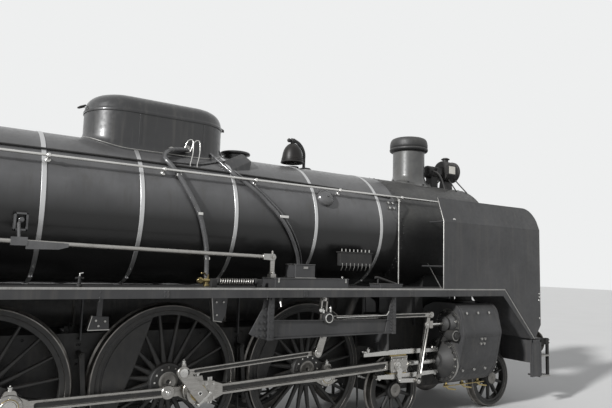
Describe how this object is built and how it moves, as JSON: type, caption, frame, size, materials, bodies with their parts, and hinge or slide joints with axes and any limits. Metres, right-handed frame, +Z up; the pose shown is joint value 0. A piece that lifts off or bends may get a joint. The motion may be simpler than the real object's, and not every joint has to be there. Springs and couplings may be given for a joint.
{
  "type": "steam locomotive",
  "caption": "Two-cylinder 4-6-2 express steam locomotive for 1524 mm gauge, without tender: coupled drivers, rods, swivelling bogie, smoke deflectors, opening doors.",
  "frame": {"origin": "under the middle of the engine's length, on the track's centre line, at the wheel flanges' lowest points", "axes": "+X forward to the chimney end, +Y to the engine's left, +Z up"},
  "size_m": [13.57, 3.1, 4.943],
  "materials": {
    "satin_black": "satin black enamel",
    "frame_black": "dull black paint",
    "boiler_grey": "satin dark grey enamel",
    "smokebox_black": "matt heat-proof black",
    "wheel_black": "satin black on cast steel",
    "bright_steel": "oiled bright steel",
    "band_steel": "polished lagging band",
    "cast_black": "painted casting",
    "beam_black": "black enamel",
    "bell_bronze": "smoked bell bronze",
    "pane_glass": "clear",
    "lamp_black": "gloss black"
  },
  "bodies": {
    "engine": {"connecting_rods": "bright_steel", "return_cranks": "bright_steel", "eccentric_rods": "bright_steel", "expansion_links": "bright_steel", "valve_rods": "bright_steel", "crossheads": "bright_steel", "slide_bars": "bright_steel", "motion_girders": "frame_black", "cylinders": "satin_black", "main_frames": "frame_black", "driver_springs": "frame_black", "brake_gear": "frame_black", "boiler_barrel": "boiler_grey", "boiler_bands": "band_steel", "firebox": "boiler_grey", "ashpan": "frame_black", "smokebox": "smokebox_black", "saddle": "cast_black", "chimney": "smokebox_black", "dome_casing": "satin_black", "top_feed": "satin_black", "bell_yoke": "satin_black", "lamps": "lamp_black", "handrails": "band_steel", "running_boards": "satin_black", "smoke_deflectors": "satin_black", "board_boxes": "satin_black", "reach_rod": "satin_black", "front_beam": "beam_black", "buffers": "cast_black", "draw_gear": "cast_black", "cab_walls": "satin_black", "cab_roof": "satin_black", "cab_glass": "pane_glass", "backhead": "cast_black", "boiler_pipes": "satin_black", "footsteps": "frame_black"},
    "main_drivers": {"main_wheels": "wheel_black"},
    "front_drivers": {"front_wheels": "wheel_black"},
    "rear_drivers": {"rear_wheels": "wheel_black"},
    "coupling_right": {"coupling_rod_right": "bright_steel"},
    "coupling_left": {"coupling_rod_left": "bright_steel"},
    "bogie": {"bogie_frame": "frame_black"},
    "bogie_rear_axle": {"bogie_wheels_rear": "wheel_black"},
    "bogie_front_axle": {"bogie_wheels_front": "wheel_black"},
    "truck": {"truck_frame": "frame_black"},
    "truck_axle": {"trailing_wheels": "wheel_black"},
    "bell": {"bell": "bell_bronze"},
    "smokebox_door": {"smokebox_door": "smokebox_black"},
    "cab_door_right": {"cab_door_right": "satin_black"},
    "cab_door_left": {"cab_door_left": "satin_black"}
  },
  "joints": [
    {"name": "main_drivers_spin", "type": "hinge", "parent": "engine", "child": "main_drivers", "pos_m": [-0.635, 0, 0.978], "axis": [0, 1, 0], "continuous": true},
    {"name": "front_drivers_spin", "type": "hinge", "parent": "engine", "child": "front_drivers", "pos_m": [1.45, 0, 0.978], "axis": [0, 1, 0], "continuous": true},
    {"name": "rear_drivers_spin", "type": "hinge", "parent": "engine", "child": "rear_drivers", "pos_m": [-2.72, 0, 0.978], "axis": [0, 1, 0], "continuous": true},
    {"name": "coupling_right_pin", "type": "hinge", "parent": "main_drivers", "child": "coupling_right", "pos_m": [-0.3296, -0.945, 0.86684], "axis": [0, 1, 0], "continuous": true},
    {"name": "coupling_left_pin", "type": "hinge", "parent": "main_drivers", "child": "coupling_left", "pos_m": [-0.52384, 0.945, 1.2834], "axis": [0, 1, 0], "continuous": true},
    {"name": "bogie_swivel", "type": "hinge", "parent": "engine", "child": "bogie", "pos_m": [4.345, 0, 0.928], "axis": [0, 0, 1], "range_deg": [-3, 3]},
    {"name": "bogie_rear_spin", "type": "hinge", "parent": "bogie", "child": "bogie_rear_axle", "pos_m": [3.165, 0, 0.528], "axis": [0, 1, 0], "continuous": true},
    {"name": "bogie_front_spin", "type": "hinge", "parent": "bogie", "child": "bogie_front_axle", "pos_m": [5.525, 0, 0.528], "axis": [0, 1, 0], "continuous": true},
    {"name": "truck_swing", "type": "hinge", "parent": "engine", "child": "truck", "pos_m": [-3.885, 0, 0.628], "axis": [0, 0, 1], "range_deg": [-3, 3]},
    {"name": "truck_spin", "type": "hinge", "parent": "truck", "child": "truck_axle", "pos_m": [-5.385, 0, 0.588], "axis": [0, 1, 0], "continuous": true},
    {"name": "bell_swing", "type": "hinge", "parent": "engine", "child": "bell", "pos_m": [1.63, 0, 4.533], "axis": [1, 0, 0], "range_deg": [-30, 30]},
    {"name": "smokebox_door_hinge", "type": "hinge", "parent": "engine", "child": "smokebox_door", "pos_m": [5.49, 0.88, 3.111], "axis": [0, 0, 1], "range_deg": [0, 110]},
    {"name": "cab_door_right_hinge", "type": "hinge", "parent": "engine", "child": "cab_door_right", "pos_m": [-6.02, -1.479, 2.628], "axis": [0, 0, -1], "range_deg": [0, 90]},
    {"name": "cab_door_left_hinge", "type": "hinge", "parent": "engine", "child": "cab_door_left", "pos_m": [-6.02, 1.479, 2.628], "axis": [0, 0, 1], "range_deg": [0, 90]}
  ],
  "couplings": [
    {"joint": "front_drivers_spin", "follows": "main_drivers_spin", "ratio": 1},
    {"joint": "rear_drivers_spin", "follows": "main_drivers_spin", "ratio": 1},
    {"joint": "coupling_right_pin", "follows": "main_drivers_spin", "ratio": -1},
    {"joint": "coupling_left_pin", "follows": "main_drivers_spin", "ratio": -1}
  ]
}
